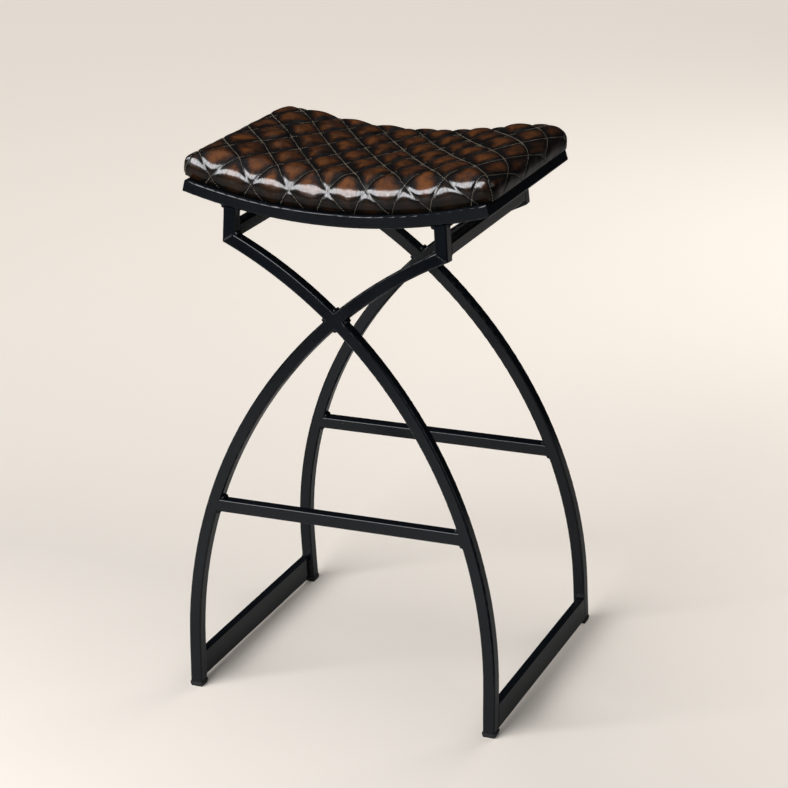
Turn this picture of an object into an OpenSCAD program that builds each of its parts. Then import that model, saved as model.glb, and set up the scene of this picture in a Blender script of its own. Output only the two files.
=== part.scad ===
// Bar stool: two leaning X frames of bent square tube under a saddle-shaped seat
// with a quilted leather cover. Millimetres, +Z up, front towards -Y.
// The origin is on the floor, below the middle of the seat.

/* [Seat frame] */
// Width of the seat frame, measured along the curve of its rails' tops
seat_w = 445; // [410:1:480]
// Depth of the seat frame over the outside of its rails
seat_d = 306; // [280:1:330]
// Height of the rails' tops above the floor, at the lowest point of the dip
rail_z = 718; // [700:1:760]
// Radius of the dip along the rails' tops
dip_r = 790; // [700:5:1200]

/* [Steel tube] */
// Side of the square tube
tube = 18; // [16:0.5:20]
// Wall thickness of every steel tube
wall = 2; // [1.5:0.1:2.1]
// Outer corner radius of every steel tube
tube_r = 2.4; // [2.2:0.1:3]

/* [Legs] */
// Distance between the centre lines of the left and the right feet
foot_span = 455; // [435:1:475]
// Depth of the base over the outside of the feet
foot_d = 401; // [360:1:440]
// Length of the straight upright part at the foot of each leg
shin_h = 65; // [50:1:75]
// Distance between the mitres where the legs' upper ends meet the posts
post_span = 313; // [290:1:330]
// Length of the posts, from their mitres up to the undersides of the seat rails
post_l = 43.7; // [36:0.1:56]
// Angle by which each post runs inwards from its leg up to the seat rail
post_splay = 3.3; // [0:0.1:5]

/* [Rails] */
// Height of the footrests' centre lines above the floor
footrest_z = 284; // [240:1:340]
// Height of the floor rails' flat tube
floor_rail_h = 38; // [30:1:45]
// Thickness of the floor rails' flat tube
floor_rail_t = 12; // [8:0.5:14]
// Height of the under-seat rails' centre lines above the mitres
under_rail_up = 8; // [4:0.5:12]

/* [Welds] */
// Width of a weld bead on the tube's face
bead_w = 5; // [3:0.5:6]

/* [Foot caps] */
// Height of a cap's rim, which the tube stands on
cap_h = 7; // [5:0.5:10]
// Overhang of the rim beyond the tube, all round
cap_lip = 1; // [0.5:0.1:1.5]
// Inward slope of the rim's sides, from its top edge to the floor
cap_taper = 1.6; // [1:0.1:2.5]
// Length of the plug inside the tube
plug_l = 16; // [12:1:22]
// Number of gripping ribs round the plug
plug_ribs = 3; // [2:1:4]

/* [Cushion] */
// Height of the quilted seat above the rails' tops, in the middle
pad_h = 52; // [46:1:60]
// Overhang of the cover beyond each end of the seat frame, along the curve
pad_over = 15; // [8:1:22]
// Setback of the cover from the front and the back faces of the rails
pad_back = 3; // [2:0.5:5]
// Reach of the rounding at the left and the right ends
pad_end_r = 80; // [56:1:96]
// Reach of the rounding along the front edge, longer where the legs hang over it
pad_front_r = 44; // [34:1:54]
// Reach of the rounding along the back edge
pad_back_r = 24; // [18:1:34]
// Height of the widest line of the cover above the rails' tops
pad_rim_h = 18; // [14:1:22]
// Distance by which the sides draw in from the widest line to the bottom
pad_draw = 6; // [4:0.5:9]
// Corner radius of the cover, seen from above
pad_corner_r = 18; // [10:1:26]
// Drop of the crown from the middle to the left and the right ends
crown_end = 4; // [2:0.5:7]
// Drop of the crown from the middle to the front and the back edges
crown_edge = 3; // [1:0.5:6]
// Thickness of the leather
leather_t = 1.5; // [1.2:0.1:2]
// Width of the cover's fold under the board
fold_w = 14; // [10:1:16]

/* [Quilting] */
// Width of a quilted diamond, corner to corner along the seat's width
quilt_w = 58; // [50:1:70]
// Depth of a quilted diamond, corner to corner from front to back
quilt_d = 91; // [80:1:110]
// Depth of the sewn channels between the diamonds
quilt_sink = 5; // [3:0.5:6]

/* [Board and fixings] */
// Thickness of the moulded plywood board
board_t = 12; // [10:0.5:15]
// Plan corner radius of the board
board_r = 22; // [18:1:30]
// Thickness of the dust cover
dust_t = 0.6; // [0.5:0.1:1]
// Setback of the dust cover's edge from the board's edge
dust_back = 4.5; // [3:0.5:8]
// Length snipped off each side at the dust cover's corners
dust_snip = 10; // [6:1:16]
// Distance of each seat screw from the seat's middle line, front to back
screw_y = 90; // [60:1:110]
// Diameter of a seat screw's shank
screw_d = 4; // [3.5:0.1:5]
// Diameter of a seat screw's head
screw_head_d = 8; // [7:0.1:9]
// Height of a seat screw's head
screw_head_h = 2.6; // [2:0.1:3]
// Length of a seat screw under its head
screw_l = 12; // [10:0.5:13]
// Diameter of the hole that lets a driver and the screw's head into the tube
access_d = 10; // [9.5:0.5:12]

/* [Hidden] */

// Facets of a small round, and of a long bend
round_fn = 32;
bend_fn = 240;
// Overrun of a cutting tool beyond what it cuts
over = 1;
// Running clearance of a loose piece
clear = 0.3;
// Clearance of the cap's ribs and of the screws' shanks
snug = 0.15;
// Length of a cutting block beside a joint
block = 4 * tube;
// Setback of a bead's ends from the tube's faces
bead_end = 1.5;
// Reach of a plug's ribs beyond its core, and their thickness
rib_reach = 2.5;
rib_t = 1.2;
// Least part of a step left free at the cushion's widest line
edge_share = 0.3;
steel_colour = [0.13, 0.14, 0.16];

// The frames lean inwards so that the posts' tops are flush with the seat rails
post_top_z = rail_z + post_span * post_span / (8 * dip_r) - tube;
lean = atan((foot_d - seat_d) / 2 / (post_top_z - cap_h));

// Heights along the leaning frames, from the feet's level cut
mitre_s = (post_top_z - cap_h) / cos(lean) - post_l;
footrest_s = (footrest_z - cap_h) / cos(lean);

// Bend of a leg, which starts upright at the shin and passes through the mitre:
// its radius at the centre line, and its angles measured from the upright part
leg_across = (foot_span + post_span) / 2;
leg_up = mitre_s - shin_h;
leg_r = (leg_across * leg_across + leg_up * leg_up) / (2 * leg_across);
leg_cx = leg_r - foot_span / 2;
cross_a = acos(leg_cx / leg_r);
mitre_a = acos((leg_cx - post_span / 2) / leg_r);
spare_a = tube / leg_r * 180 / PI;
mitre_tilt = (90 - mitre_a + 90 + post_splay) / 2;
mitre_turn = mitre_a + post_splay;

// The seat's curve: half its angle, and the half sizes of the cover
end_a = seat_w / 2 / dip_r * 180 / PI;
pad_u = seat_w / 2 + pad_over;
pad_v = seat_d / 2 - pad_back;
pad_z0 = dust_t;
fold_z = pad_z0 + leather_t;
foam_z = fold_z + board_t;
inner_inset = quilt_sink + leather_t;

// Outline of a rectangle w by h with rounded corners, round its centre
module rounded_rect(w, h, r) {
    union() {
        square([w - 2 * r, h], center = true);
        square([w, h - 2 * r], center = true);
        for (x = [-1, 1], y = [-1, 1])
            translate([x * (w / 2 - r), y * (h / 2 - r)])
                circle(r, $fn = round_fn);
    }
}

// Section of a tube, or its filled envelope
module section(w, h, filled = false) {
    difference() {
        rounded_rect(w, h, tube_r);
        if (!filled)
            rounded_rect(w - 2 * wall, h - 2 * wall, tube_r - wall);
    }
}

// Straight square tube from the origin up along Z
module straight_tube(l, filled = false) {
    linear_extrude(l)
        section(tube, tube, filled);
}

// Bent square tube about the Y axis, from angle a0 to a1 counted from +X to +Z
module bent_tube(r, a0, a1, filled = false) {
    rotate([90, 0, 0])
        rotate([0, 0, a0])
            rotate_extrude(angle = a1 - a0, $fn = bend_fn)
                translate([r, 0])
                    section(tube, tube, filled);
}

// Frame plane: X across, Y from the outer face inwards, Z up along the lean
module front_plane() {
    translate([0, -foot_d / 2, cap_h])
        rotate([-lean, 0, 0])
            children();
}

module to_back() {
    mirror([0, 1, 0])
        children();
}

module to_left() {
    mirror([1, 0, 0])
        children();
}

// One leg in the frame plane: left foot, leaning over to the right
module leg_path(a0, a1, with_shin, filled = false) {
    translate([leg_cx, tube / 2, shin_h])
        to_left()
            bent_tube(leg_r, a0, a1, filled);
    if (with_shin)
        translate([-foot_span / 2, tube / 2, -tube])
            straight_tube(shin_h + tube, filled);
}

// Everything below the level cut at the feet
module below_feet() {
    translate([-foot_span, -foot_d, cap_h - block])
        cube([2 * foot_span, 2 * foot_d, block]);
}

// Block on one side of the right mitre plane: the post's side or the leg's side
module mitre_block(post_side) {
    translate([post_span / 2, tube / 2, mitre_s])
        rotate([0, -mitre_tilt, 0])
            translate([post_side ? 0 : -block, -block / 2, -block / 2])
                cube(block);
}

module long_leg() {
    difference() {
        front_plane()
            difference() {
                leg_path(0, mitre_a + spare_a, true);
                mitre_block(true);
            }
        below_feet();
    }
}

module short_leg_lower() {
    difference() {
        front_plane()
            difference() {
                to_left()
                    leg_path(0, cross_a, true);
                leg_path(0, mitre_a, false, true);
            }
        below_feet();
    }
}

module short_leg_upper() {
    front_plane()
        difference() {
            to_left()
                difference() {
                    leg_path(cross_a, mitre_a + spare_a, false);
                    mitre_block(true);
                }
            leg_path(0, mitre_a, false, true);
        }
}

// Half the clear width between the legs' centre lines at height s
function leg_x(s) = sqrt(leg_r * leg_r - pow(s - shin_h, 2)) - leg_cx;

module footrest() {
    half = leg_x(footrest_s);
    front_plane()
        difference() {
            translate([-half, tube / 2, footrest_s])
                rotate([0, 90, 0])
                    straight_tube(2 * half);
            leg_path(0, mitre_a, false, true);
            to_left()
                leg_path(0, mitre_a, false, true);
        }
}

// Space above the undersides of the seat rails
module above_rails() {
    translate([0, 0, rail_z + dip_r])
        rotate([90, 0, 0])
            cylinder(h = 2 * foot_d, r = dip_r + tube, center = true, $fn = bend_fn);
}

module post_right() {
    reach = rail_z + tube - mitre_s;
    difference() {
        front_plane()
            difference() {
                translate([post_span / 2, tube / 2, mitre_s])
                    rotate([0, -post_splay, 0])
                        translate([0, 0, -tube])
                            straight_tube(reach + tube);
                mitre_block(false);
            }
        above_rails();
    }
}

// Space between the inner faces of the two frames
module between_frames() {
    y0 = foot_d / 2 - tube / cos(lean);
    y1 = y0 - (rail_z - cap_h) * tan(lean);
    rotate([90, 0, 90])
        linear_extrude(2 * foot_span, center = true)
            polygon([[-y0, cap_h], [y0, cap_h], [y1, rail_z], [-y1, rail_z]]);
}

module floor_rail() {
    x = foot_span / 2 + tube / 2 - floor_rail_t / 2;
    intersection() {
        translate([x, foot_d / 2, cap_h + floor_rail_h / 2])
            rotate([90, 0, 0])
                linear_extrude(foot_d)
                    section(floor_rail_t, floor_rail_h);
        between_frames();
    }
}

// Centre of the right under-seat rail, across and up
under_rail_x = post_span / 2 - under_rail_up * tan(post_splay);
under_rail_z = cap_h + (mitre_s + under_rail_up) * cos(lean);

module under_seat_rail() {
    intersection() {
        translate([under_rail_x, foot_d / 2, under_rail_z])
            rotate([0, -post_splay, 0])
                rotate([90, 0, 0])
                    straight_tube(foot_d);
        between_frames();
    }
}

// Places its children on the seat's curve: X along it, Y back, Z square to it
module on_curve(a, h = 0) {
    translate([0, 0, rail_z + dip_r])
        rotate([0, -a, 0])
            translate([0, 0, h - dip_r])
                children();
}

// Block beside the mitre of the seat frame's front right corner
module corner_block(side_rail) {
    on_curve(end_a)
        translate([0, -seat_d / 2, 0])
            rotate([0, 0, 45])
                translate([side_rail ? -block : 0, -block / 2, -block / 2])
                    cube(block);
}

module bent_seat_rail() {
    difference() {
        translate([0, tube / 2 - seat_d / 2, rail_z + dip_r])
            bent_tube(dip_r + tube / 2, -90 - end_a, end_a - 90);
        corner_block(false);
        to_left()
            corner_block(false);
    }
}

module straight_seat_rail() {
    difference() {
        on_curve(end_a)
            translate([-tube / 2, seat_d / 2, -tube / 2])
                rotate([90, 0, 0])
                    straight_tube(seat_d);
        corner_block(true);
        to_back()
            corner_block(true);
        for (y = [-1, 1])
            on_curve(end_a)
                translate([-tube / 2, y * screw_y, 0])
                    screw_holes();
    }
}

// Hole for the shank in the rail's top wall, and for the driver in its bottom wall
module screw_holes() {
    translate([0, 0, -tube / 2])
        cylinder(h = tube, d = screw_d + 2 * clear, $fn = round_fn);
    translate([0, 0, -tube - over])
        cylinder(h = tube / 2, d = access_d, $fn = round_fn);
}

module seat_screw() {
    translate([0, 0, -wall - screw_head_h])
        cylinder(h = screw_head_h, d = screw_head_d, $fn = round_fn);
    translate([0, 0, -wall - over])
        cylinder(h = screw_l + over, d = screw_d, $fn = round_fn);
}

// Weld bead along Z in a notch of opening angle a, whose middle points along +X
module bead(a, l) {
    half_w = bead_w * sin(a / 2);
    depth = bead_w * cos(a / 2);
    hollow_r = 2 * half_w;
    linear_extrude(l, center = true)
        difference() {
            polygon([[0, 0], [depth, -half_w], [depth, half_w]]);
            translate([depth + sqrt(hollow_r * hollow_r - half_w * half_w), 0])
                circle(hollow_r, $fn = 2 * round_fn);
        }
}

// The same bead along Y, its middle at the angle dir from +X towards +Z
module bead_back(a, dir, l = tube - 2 * bead_end) {
    rotate([0, -dir, 0])
        rotate([90, 0, 0])
            bead(a, l);
}

// The same bead along X, its middle at the angle dir from +Y towards +Z
module bead_across(a, dir, l = tube - 2 * bead_end) {
    rotate([0, 0, 90])
        bead_back(a, dir, l);
}

// Low ridge of weld along the mitre on the frame's outer face
module mitre_ridge() {
    rise = bead_w / 5;
    ridge_r = (bead_w * bead_w / 4 + rise * rise) / (2 * rise);
    ridge_l = tube / cos(mitre_turn / 2) - 2 * tube_r;
    translate([post_span / 2, 0, mitre_s])
        rotate([0, 90 - mitre_tilt, 0])
            rotate([0, 90, 0])
                linear_extrude(ridge_l, center = true)
                    difference() {
                        translate([0, ridge_r - rise])
                            circle(ridge_r, $fn = 2 * round_fn);
                        translate([-2 * ridge_r, 0])
                            square(4 * ridge_r);
                    }
}

// Inner face of a leg at height s: its distance from the middle, and its lean
function inner_x(s) = sqrt(pow(leg_r - tube / 2, 2) - pow(s - shin_h, 2)) - leg_cx;
function inner_a(s) = asin((s - shin_h) / (leg_r - tube / 2));

module footrest_beads() {
    top = footrest_s + tube / 2;
    low = footrest_s - tube / 2;
    translate([inner_x(top), tube / 2, top])
        bead_back(90 - inner_a(top), 135 + inner_a(top) / 2);
    translate([inner_x(low), tube / 2, low])
        bead_back(90 + inner_a(low), 225 + inner_a(low) / 2);
}

module mitre_beads() {
    half = tube / 2 / cos(mitre_turn / 2);
    translate([post_span / 2, tube / 2, mitre_s])
        rotate([0, -mitre_tilt - 90, 0])
            translate([half, 0, 0])
                bead_back(180 - mitre_turn, 0);
    mitre_ridge();
}

// Bead in one of the four notches round the crossing, which opens towards dir.
// A leg borders it with its outer face, 1, or with its inner face, -1
module crossing_bead(dir, long_face, short_face) {
    r1 = leg_r + long_face * tube / 2;
    r2 = leg_r + short_face * tube / 2;
    x = (r2 * r2 - r1 * r1) / (4 * leg_cx);
    a1 = acos((leg_cx - x) / r1);
    a2 = acos((leg_cx + x) / r2);
    open_a = long_face == short_face ? a1 + a2 : 180 - a1 - a2;
    curl = bead_w / leg_r * 180 / PI;
    translate([x, tube / 2, shin_h + r1 * sin(a1)])
        bead_back(open_a - curl, dir + (a2 - a1) / 2);
}

module frame_welds() {
    front_plane() {
        crossing_bead(0, -1, 1);
        crossing_bead(90, 1, 1);
        crossing_bead(180, 1, -1);
        crossing_bead(270, -1, -1);
        footrest_beads();
        to_left()
            footrest_beads();
        mitre_beads();
        to_left()
            mitre_beads();
    }
}

// The front frame's inner face at height z, front to back
function inner_y(z) = tube / cos(lean) - foot_d / 2 + (z - cap_h) * tan(lean);

module floor_rail_beads() {
    top = cap_h + floor_rail_h;
    edge_x = foot_span / 2 + tube / 2 - floor_rail_t;
    translate([edge_x + floor_rail_t / 2, inner_y(top), top])
        bead_across(90 - lean, (90 - lean) / 2, floor_rail_t - 2 * bead_end);
    front_plane()
        translate([edge_x, tube, floor_rail_h / 2])
            rotate([0, 0, 135])
                bead(90, floor_rail_h - 2 * bead_w);
}

module under_rail_beads() {
    for (up = [-1, 1])
        translate([under_rail_x, inner_y(under_rail_z + up * tube / 2), under_rail_z])
            rotate([0, -post_splay, 0])
                translate([0, 0, up * tube / 2])
                    bead_across(90 - up * lean, up * (90 - up * lean) / 2);
}

module seat_frame_beads() {
    top_x = post_span / 2 - post_l * tan(post_splay);
    for (side = [-1, 1]) {
        x = top_x + side * tube / 2 / cos(post_splay);
        tilt = asin(x / (dip_r + tube));
        z = rail_z + dip_r - (dip_r + tube) * cos(tilt);
        open_a = 90 + side * (tilt - post_splay);
        dir = side > 0 ? tilt - open_a / 2 : 180 + tilt + open_a / 2;
        translate([x, tube / 2 - seat_d / 2, z])
            bead_back(open_a, dir);
    }
    on_curve(end_a)
        translate([-tube, tube - seat_d / 2, -tube / 2])
            rotate([0, 0, 135])
                bead(90, tube - 2 * bead_end);
}

module on_four_corners() {
    children();
    to_left()
        children();
    to_back() {
        children();
        to_left()
            children();
    }
}

// Cap at the front right foot: tapered rim on the floor, ribbed plug in the tube
module foot_cap() {
    depth = tube / cos(lean);
    bore = tube - 2 * wall;
    translate([foot_span / 2, depth / 2 - foot_d / 2, 0])
        intersection() {
            rim_wedge(tube / 2 + cap_lip, depth);
            rotate([0, 0, 90])
                rim_wedge(depth / 2 + cap_lip, tube + depth);
            linear_extrude(cap_h)
                rounded_rect(tube + 2 * cap_lip, depth + 2 * cap_lip, tube_r);
        }
    front_plane()
        translate([foot_span / 2, tube / 2, 0]) {
            translate([0, 0, -cap_h / 2])
                linear_extrude(plug_l + cap_h / 2)
                    rounded_rect(bore - 2 * rib_reach, bore - 2 * rib_reach, tube_r - wall);
            for (i = [1:plug_ribs])
                translate([0, 0, i * plug_l / plug_ribs - rib_t])
                    linear_extrude(rib_t)
                        rounded_rect(bore - 2 * snug, bore - 2 * snug, tube_r - wall);
        }
}

// Wedge whose sides slope in towards the floor, 2 * half wide at its top
module rim_wedge(half, l) {
    rotate([90, 0, 0])
        linear_extrude(2 * l, center = true)
            polygon([
                [cap_taper - half, 0], [half - cap_taper, 0],
                [half, cap_h], [-half, cap_h]
            ]);
}

// The cushion's surface is drawn on the leather laid flat: a along the seat's
// width and b along its depth, over the flat and down to the widest line
pad_rise = pad_h - pad_rim_h;
flat_u = pad_u - pad_end_r;
run_u = run_of(pad_end_r);
function run_of(reach) = PI / 2 * sqrt((reach * reach + pad_rise * pad_rise) / 2);

// The rounding of the front or of the back edge: its reach, its start and its run
function edge_r(b) = b < 0 ? pad_front_r : pad_back_r;
function flat_v(b) = pad_v - edge_r(b);
function run_v(b) = run_of(edge_r(b));

// Places where the leather is sampled: every step, and twice as often on an edge
function half_places(flat, run, step, fine) = [
    for (k = [0:floor((flat + run) / step - edge_share)], part = [0, 1])
        let (a = (k + part / 2) * step)
            if (a > 0 && (part == 0 || (fine && a > flat && a < flat + run - step * edge_share)))
                a
];
function places(low, low_run, high, high_run, step, fine) =
    let (
        below = half_places(low, low_run, step, fine),
        above = half_places(high, high_run, step, fine),
        n = len(below)
    )
        concat(
            [-low - low_run], [for (i = [1:n]) -below[n - i]],
            [0], above, [high + high_run]
        );

// Share of the rounding's reach at a, and the place above the board
function reach_share(a, flat, run) = sin(90 * min(1, max(0, (abs(a) - flat) / run)));
function place(a, flat, reach, run) =
    sign(a) * (min(abs(a), flat) + reach * reach_share(a, flat, run));

// Height of the puffed diamonds: 0 on a seam, 1 in the middle of a diamond
function hump(q) = abs(sin(180 * q));
function puff(a, b) =
    sqrt(hump(a / quilt_w + b / quilt_d) * hump(a / quilt_w - b / quilt_d));

// Point of the leather as [along, back, up] on the seat's curve, and its normal
function corner_pull(reach) = pad_corner_r * (1 - sqrt(1 / 2)) / reach;
function pad_plan(a, b) =
    let (x = reach_share(a, flat_u, run_u), y = reach_share(b, flat_v(b), run_v(b)))
        [
            place(a, flat_u, pad_end_r, run_u)
                - sign(a) * pad_end_r * x * corner_pull(pad_end_r) * pow(y, 4),
            place(b, flat_v(b), edge_r(b), run_v(b))
                - sign(b) * edge_r(b) * y * corner_pull(edge_r(b)) * pow(x, 4)
        ];
function pad_normal(a, b) =
    let (
        x = reach_share(a, flat_u, run_u),
        y = reach_share(b, flat_v(b), run_v(b)),
        gx = sqrt(max(0, 1 - x * x)),
        gy = sqrt(max(0, 1 - y * y)),
        corner = pow(x * y, 6),
        n = [sign(a) * (x * gy + corner), sign(b) * (y * gx + corner), gx * gy]
    )
        n / norm(n);
function pad_height(a, b) =
    let (
        x = reach_share(a, flat_u, run_u),
        y = reach_share(b, flat_v(b), run_v(b)),
        p = pad_plan(a, b),
        crown = crown_end * pow(p[0] / pad_u, 2) + crown_edge * pow(p[1] / pad_v, 2)
    )
        pad_rim_h + (pad_rise - crown) * sqrt(max(0, (1 - x * x) * (1 - y * y)));
function pad_point(a, b, inset, sink) =
    let (p = pad_plan(a, b), in = inset + sink * (1 - puff(a, b)))
        [p[0], p[1], pad_height(a, b)] - in * pad_normal(a, b);

// Point of the side below the widest line, h above the rails' tops
function side_point(a, b, h, inset, low_inset) =
    let (
        w = (pad_rim_h - h) / (pad_rim_h - pad_z0),
        n = pad_normal(a, b),
        in = pad_draw * w * w + inset + (low_inset - inset) * w,
        p = pad_plan(a, b) - in * [n[0], n[1]] / norm([n[0], n[1]])
    )
        [p[0], p[1], h];

// The same point in the stool's own frame
function on_seat(p) =
    let (t = p[0] / dip_r * 180 / PI, r = dip_r - p[2])
        [r * sin(t), p[1], rail_z + dip_r - r * cos(t)];

// Indices of the grid's edge, anticlockwise from the front left corner
function edge_ij(m, nu, nv) =
    m < nu ? [m, 0]
    : m < nu + nv - 1 ? [nu - 1, m - nu + 1]
    : m < 2 * nu + nv - 2 ? [2 * nu + nv - 3 - m, nv - 1]
    : [0, 2 * nu + 2 * nv - 4 - m];

// Closed cushion form, set in from the leather by inset, down to its bottom
module pad_form(inset, low_inset, bottom, sink, step_u, step_v, fine) {
    us = places(flat_u, run_u, flat_u, run_u, step_u, false);
    vs = places(flat_v(-1), run_v(-1), flat_v(1), run_v(1), step_v, fine);
    nu = len(us);
    nv = len(vs);
    loop = 2 * nu + 2 * nv - 4;
    rings = fine ? 2 : 1;
    top = [for (a = us, b = vs) on_seat(pad_point(a, b, inset, sink))];
    side = [
        for (k = [1:rings], m = [0:loop - 1])
            let (ij = edge_ij(m, nu, nv))
                on_seat(side_point(
                    us[ij[0]], vs[ij[1]], pad_rim_h + (bottom - pad_rim_h) * k / rings,
                    inset, low_inset
                ))
    ];
    rim = [for (m = [0:loop - 1]) let (ij = edge_ij(m, nu, nv)) ij[0] * nv + ij[1]];
    function ring(k, m) = k == 0 ? rim[m % loop] : nu * nv + (k - 1) * loop + m % loop;
    function seam(i, j) = puff(us[i], vs[j]);
    top_faces = [
        for (i = [0:nu - 2], j = [0:nv - 2])
            let (
                p = i * nv + j, q = p + nv,
                rising = seam(i, j) + seam(i + 1, j + 1) <= seam(i + 1, j) + seam(i, j + 1)
            )
                each rising
                    ? [[p, p + 1, q + 1], [p, q + 1, q]]
                    : [[p, p + 1, q], [q, p + 1, q + 1]]
    ];
    side_faces = [
        for (k = [0:rings - 1], m = [0:loop - 1])
            each [
                [ring(k, m), ring(k, m + 1), ring(k + 1, m + 1)],
                [ring(k, m), ring(k + 1, m + 1), ring(k + 1, m)]
            ]
    ];
    // The bottom is closed by strips from front to back, and by fans at its ends
    back = 2 * nu + nv - 3;
    strips = [
        for (i = [1:nu - 3])
            each [
                [ring(rings, i), ring(rings, i + 1), ring(rings, back - i - 1)],
                [ring(rings, i), ring(rings, back - i - 1), ring(rings, back - i)]
            ]
    ];
    left_fan = [
        for (m = [back - 1:loop - 1])
            [ring(rings, 1), ring(rings, m), ring(rings, m + 1)]
    ];
    right_fan = [
        for (m = [nu - 1:nu + nv - 2])
            [ring(rings, nu - 2), ring(rings, m), ring(rings, m + 1)]
    ];
    polyhedron(concat(top, side), concat(top_faces, side_faces, strips, left_fan, right_fan));
}

// What a rounded corner, or a snipped one, leaves outside a corner at the origin
module round_off() {
    difference() {
        translate([-board_r, -over])
            square(board_r + over);
        translate([-board_r, board_r])
            circle(board_r, $fn = 2 * round_fn);
    }
}
module snip_off() {
    polygon([[-dust_snip, 0], [-dust_snip, -over], [over, -over], [over, dust_snip], [0, dust_snip]]);
}

// Sheet that follows the seat's curve between two heights, its corners cut by children
module curved_sheet(h0, h1, half_u, half_v) {
    half_a = half_u / dip_r * 180 / PI;
    difference() {
        translate([0, 0, rail_z + dip_r])
            rotate([90, 0, 0])
                rotate([0, 0, -90 - half_a])
                    rotate_extrude(angle = 2 * half_a, $fn = bend_fn)
                        translate([dip_r - h1, -half_v])
                            square([h1 - h0, 2 * half_v]);
        on_four_corners()
            on_curve(half_a)
                translate([0, -half_v, 0])
                    linear_extrude(block, center = true)
                        children();
    }
}

// Cylinders of diameter d on the four screws' axes, between two heights
module screw_bores(d, h0, h1) {
    on_four_corners()
        on_curve(end_a)
            translate([-tube / 2, -screw_y, h0])
                cylinder(h = h1 - h0, d = d, $fn = round_fn);
}

module steel() {
    color(steel_colour)
        children();
}

module front_leg_long() { steel() long_leg(); }
module front_leg_upper() { steel() short_leg_upper(); }
module front_leg_lower() { steel() short_leg_lower(); }
module front_footrest() { steel() footrest(); }
module front_post_left() { steel() to_left() post_right(); }
module front_post_right() { steel() post_right(); }
module back_leg_long() { to_back() front_leg_long(); }
module back_leg_upper() { to_back() front_leg_upper(); }
module back_leg_lower() { to_back() front_leg_lower(); }
module back_footrest() { to_back() front_footrest(); }
module back_post_left() { to_back() front_post_left(); }
module back_post_right() { to_back() front_post_right(); }
module floor_rail_right() { steel() floor_rail(); }
module floor_rail_left() { to_left() floor_rail_right(); }
module under_seat_rail_right() { steel() under_seat_rail(); }
module under_seat_rail_left() { to_left() under_seat_rail_right(); }
module seat_rail_front() { steel() bent_seat_rail(); }
module seat_rail_back() { to_back() seat_rail_front(); }
module seat_rail_right() { steel() straight_seat_rail(); }
module seat_rail_left() { to_left() seat_rail_right(); }
module front_frame_welds() { steel() frame_welds(); }
module back_frame_welds() { to_back() front_frame_welds(); }
module floor_rail_welds() { steel() on_four_corners() floor_rail_beads(); }
module under_seat_rail_welds() { steel() on_four_corners() under_rail_beads(); }
module seat_frame_welds() { steel() on_four_corners() seat_frame_beads(); }

module foot_cap_front_right() { color([0.1, 0.1, 0.11]) foot_cap(); }
module foot_cap_front_left() { to_left() foot_cap_front_right(); }
module foot_cap_back_right() { to_back() foot_cap_front_right(); }
module foot_cap_back_left() { to_left() foot_cap_back_right(); }

module seat_board() {
    half_u = pad_u - pad_draw - leather_t - clear;
    half_v = pad_v - pad_draw - leather_t - clear;
    color([0.76, 0.62, 0.43])
        difference() {
            curved_sheet(fold_z, fold_z + board_t, half_u, half_v)
                round_off();
            screw_bores(screw_d + 2 * snug, 0, screw_l - wall + clear);
        }
}

module foam_pad() {
    color([0.9, 0.86, 0.7])
        pad_form(
            inner_inset + clear, inner_inset + clear, foam_z, 0,
            quilt_w, quilt_d / 2, false
        );
}

module leather_cover() {
    half_u = pad_u - pad_draw - leather_t - fold_w;
    half_v = pad_v - pad_draw - leather_t - fold_w;
    color([0.27, 0.14, 0.08])
        difference() {
            pad_form(0, 0, pad_z0, quilt_sink, quilt_w / 4, quilt_d / 4, true);
            pad_form(inner_inset, leather_t, fold_z, 0, quilt_w, quilt_d / 2, false);
            curved_sheet(-over, fold_z + over, half_u, half_v)
                round_off();
            screw_bores(screw_d + 2 * clear, 0, screw_l);
        }
}

module dust_cover() {
    half_u = pad_u - pad_draw - leather_t - dust_back;
    half_v = pad_v - pad_draw - leather_t - dust_back;
    color([0.08, 0.08, 0.08])
        difference() {
            curved_sheet(0, dust_t, half_u, half_v)
                snip_off();
            screw_bores(screw_d + 2 * clear, -over, dust_t + over);
        }
}

module seat_screws() {
    color([0.75, 0.75, 0.77])
        on_four_corners()
            on_curve(end_a)
                translate([-tube / 2, -screw_y, 0])
                    seat_screw();
}

front_leg_long();
front_leg_upper();
front_leg_lower();
front_footrest();
front_post_left();
front_post_right();
back_leg_long();
back_leg_upper();
back_leg_lower();
back_footrest();
back_post_left();
back_post_right();
floor_rail_left();
floor_rail_right();
under_seat_rail_left();
under_seat_rail_right();
seat_rail_front();
seat_rail_back();
seat_rail_left();
seat_rail_right();
front_frame_welds();
back_frame_welds();
floor_rail_welds();
under_seat_rail_welds();
seat_frame_welds();
foot_cap_front_left();
foot_cap_front_right();
foot_cap_back_left();
foot_cap_back_right();
seat_board();
foam_pad();
leather_cover();
dust_cover();
seat_screws();
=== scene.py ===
"""Bar stool: two leaning X frames of bent square tube under a saddle-shaped seat in quilted leather.

Everything is in metres, in the stool's own frame: +Z up, the front towards -Y, the floor at 0.
"""

import math

import bmesh
import bpy
import numpy as np
from mathutils import Matrix, Vector
from mathutils.geometry import delaunay_2d_cdt


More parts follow.
